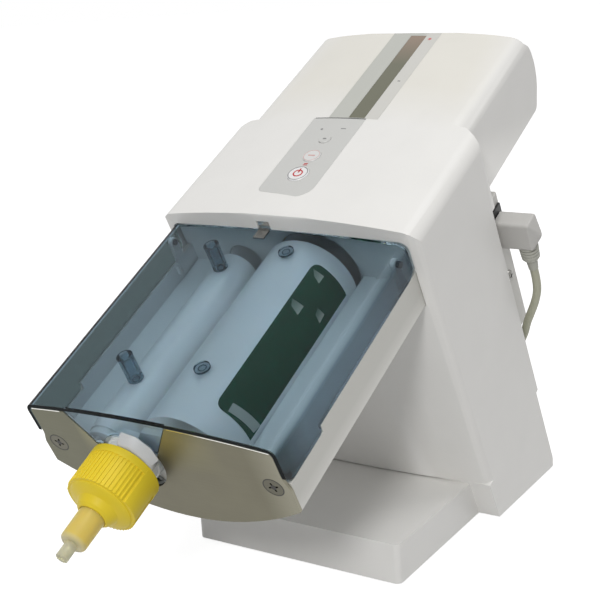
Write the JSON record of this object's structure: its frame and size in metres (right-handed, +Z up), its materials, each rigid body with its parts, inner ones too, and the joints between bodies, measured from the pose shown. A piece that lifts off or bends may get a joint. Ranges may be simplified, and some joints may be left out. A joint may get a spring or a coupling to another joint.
{
  "type": "dental impression material mixer",
  "caption": "Tilted bench mixer with a smoked cover over two cartridges, a bayonet ring with mixing tube, a keypad on the hood and a foot plate.",
  "frame": {"origin": "on the bench, under the middle of the bounding box measured without the mains lead", "axes": "+Z up, -Y towards the mixing tube (front), +X to the user's right seen from the front"},
  "size_m": [0.2444, 0.5035, 0.3118],
  "materials": {
    "body_plastic": "fine satin moulding",
    "rear_plastic": "satin",
    "steel": "satin",
    "brushed_front": "fine brushed grain",
    "smoked": "clear gloss",
    "window": "clear gloss",
    "clear_yellow": "clear gloss",
    "white_barrel": "soft gloss",
    "label": "printed film, gloss",
    "yellow": "soft gloss",
    "panel": "satin film",
    "key": "soft gloss",
    "black": "satin",
    "rubber": "matt",
    "cord": "matt",
    "plug_grey": "satin",
    "aluminium": "plain",
    "brass": "plain",
    "board": "satin",
    "motor": "satin",
    "red": "gloss",
    "nylon": "satin"
  },
  "bodies": {
    "housing": {"base": "body_plastic", "bottom_plate": "steel", "housing_screws": "steel", "rubber_feet": "rubber", "housing_shell": "body_plastic", "rear_cover": "rear_plastic", "back_panel": "rear_plastic", "rear_cover_screws": "steel", "tray_shell": "body_plastic", "cradle": "body_plastic", "front_plate": "brushed_front", "plate_screws": "steel", "bulkhead": "rear_plastic", "cover_sensor": "steel", "frame_spacers": "steel", "drive_frame": "steel", "guide_rods": "steel", "press_motor": "motor", "mixer_motor": "motor", "idler_pin": "steel", "large_cartridge": "white_barrel", "small_cartridge": "white_barrel", "cartridge_head": "white_barrel", "cartridge_label": "label", "mixer_body": "clear_yellow", "control_panel": "panel", "level_strip": "panel", "level_window": "window", "control_board": "board", "power_inlet": "black", "switch_frame": "black", "appliance_plug": "plug_grey", "plug_strain_relief": "plug_grey", "mains_cord": "cord", "cord_coil": "cord", "cord_tie": "black", "wall_plug": "cord"},
    "cover_assembly": {"cover": "smoked", "hold_down_posts": "smoked", "cover_tongue": "steel", "hinge_pins": "steel"},
    "ring": {"bayonet_ring": "yellow"},
    "mixer_drive": {"mixer_shaft": "steel", "mixer_gear": "brass", "mixer_rotor": "yellow"},
    "mixer_motor_pinion": {"mixer_pinion": "brass"},
    "crosshead": {"carriage": "aluminium", "screw_nut": "brass", "large_plunger": "aluminium", "small_plunger": "aluminium", "level_pointer": "red"},
    "screw": {"lead_screw": "steel", "screw_gear": "brass"},
    "idler": {"idler_gear": "nylon"},
    "press_motor_pinion": {"press_pinion": "brass"},
    "pistons": {"cartridge_pistons": "nylon"},
    "large_key": {"large_button": "key"},
    "middle_key": {"middle_button": "key"},
    "small_key": {"small_button": "key"},
    "switch_rocker": {"power_switch": "black"}
  },
  "joints": [
    {"name": "cover_hinge", "type": "hinge", "parent": "housing", "child": "cover_assembly", "pos_m": [0, -0.00989, 0.20046], "axis": [-1, 0, 0], "range_deg": [0, 55]},
    {"name": "ring_turn", "type": "hinge", "parent": "housing", "child": "ring", "pos_m": [-0.0202, -0.16152, 0.09808], "axis": [0, 0.8965, 0.4431], "range_deg": [0, 60]},
    {"name": "mixer_spin", "type": "hinge", "parent": "housing", "child": "mixer_drive", "pos_m": [-0.0202, -0.08013, 0.1383], "axis": [0, 0.8965, 0.4431], "continuous": true},
    {"name": "mixer_pinion_spin", "type": "hinge", "parent": "housing", "child": "mixer_motor_pinion", "pos_m": [-0.0202, 0.03408, 0.17356], "axis": [0, 0.8965, 0.4431], "continuous": true},
    {"name": "carriage_slide", "type": "slide", "parent": "housing", "child": "crosshead", "axis": [0, -0.8965, -0.4431], "range_m": [0, 0.13]},
    {"name": "screw_spin", "type": "hinge", "parent": "housing", "child": "screw", "pos_m": [-0.008, 0.09056, 0.23984], "axis": [0, 0.8965, 0.4431], "range_deg": [0, 5860]},
    {"name": "idler_spin", "type": "hinge", "parent": "housing", "child": "idler", "pos_m": [0.023, 0.17662, 0.28238], "axis": [0, 0.8965, 0.4431], "range_deg": [-8110, 0]},
    {"name": "press_pinion_spin", "type": "hinge", "parent": "housing", "child": "press_motor_pinion", "pos_m": [0.045, 0.17662, 0.28238], "axis": [0, 0.8965, 0.4431], "range_deg": [0, 11720]},
    {"name": "piston_slide", "type": "slide", "parent": "housing", "child": "pistons", "axis": [0, -0.8965, -0.4431], "range_m": [0, 0.119]},
    {"name": "large_key_press", "type": "slide", "parent": "housing", "child": "large_key", "axis": [0, 0.4431, -0.8965], "range_m": [0, 0.0008], "stiffness_N_per_m": 400, "springref_m": -0.0004},
    {"name": "middle_key_press", "type": "slide", "parent": "housing", "child": "middle_key", "axis": [0, 0.4431, -0.8965], "range_m": [0, 0.0008], "stiffness_N_per_m": 400, "springref_m": -0.0004},
    {"name": "small_key_press", "type": "slide", "parent": "housing", "child": "small_key", "axis": [0, 0.4431, -0.8965], "range_m": [0, 0.0008], "stiffness_N_per_m": 400, "springref_m": -0.0004},
    {"name": "power_switch_rock", "type": "hinge", "parent": "housing", "child": "switch_rocker", "pos_m": [0, 0.13253, 0.19645], "axis": [-1, 0, 0], "range_deg": [0, 16]}
  ],
  "couplings": [
    {"joint": "mixer_pinion_spin", "follows": "mixer_spin", "ratio": -2.1667},
    {"joint": "screw_spin", "follows": "carriage_slide", "rad_per_m": 785.4},
    {"joint": "idler_spin", "follows": "carriage_slide", "rad_per_m": -1087.5},
    {"joint": "press_pinion_spin", "follows": "carriage_slide", "rad_per_m": 1570.8},
    {"joint": "piston_slide", "follows": "carriage_slide", "ratio": 0.909}
  ]
}
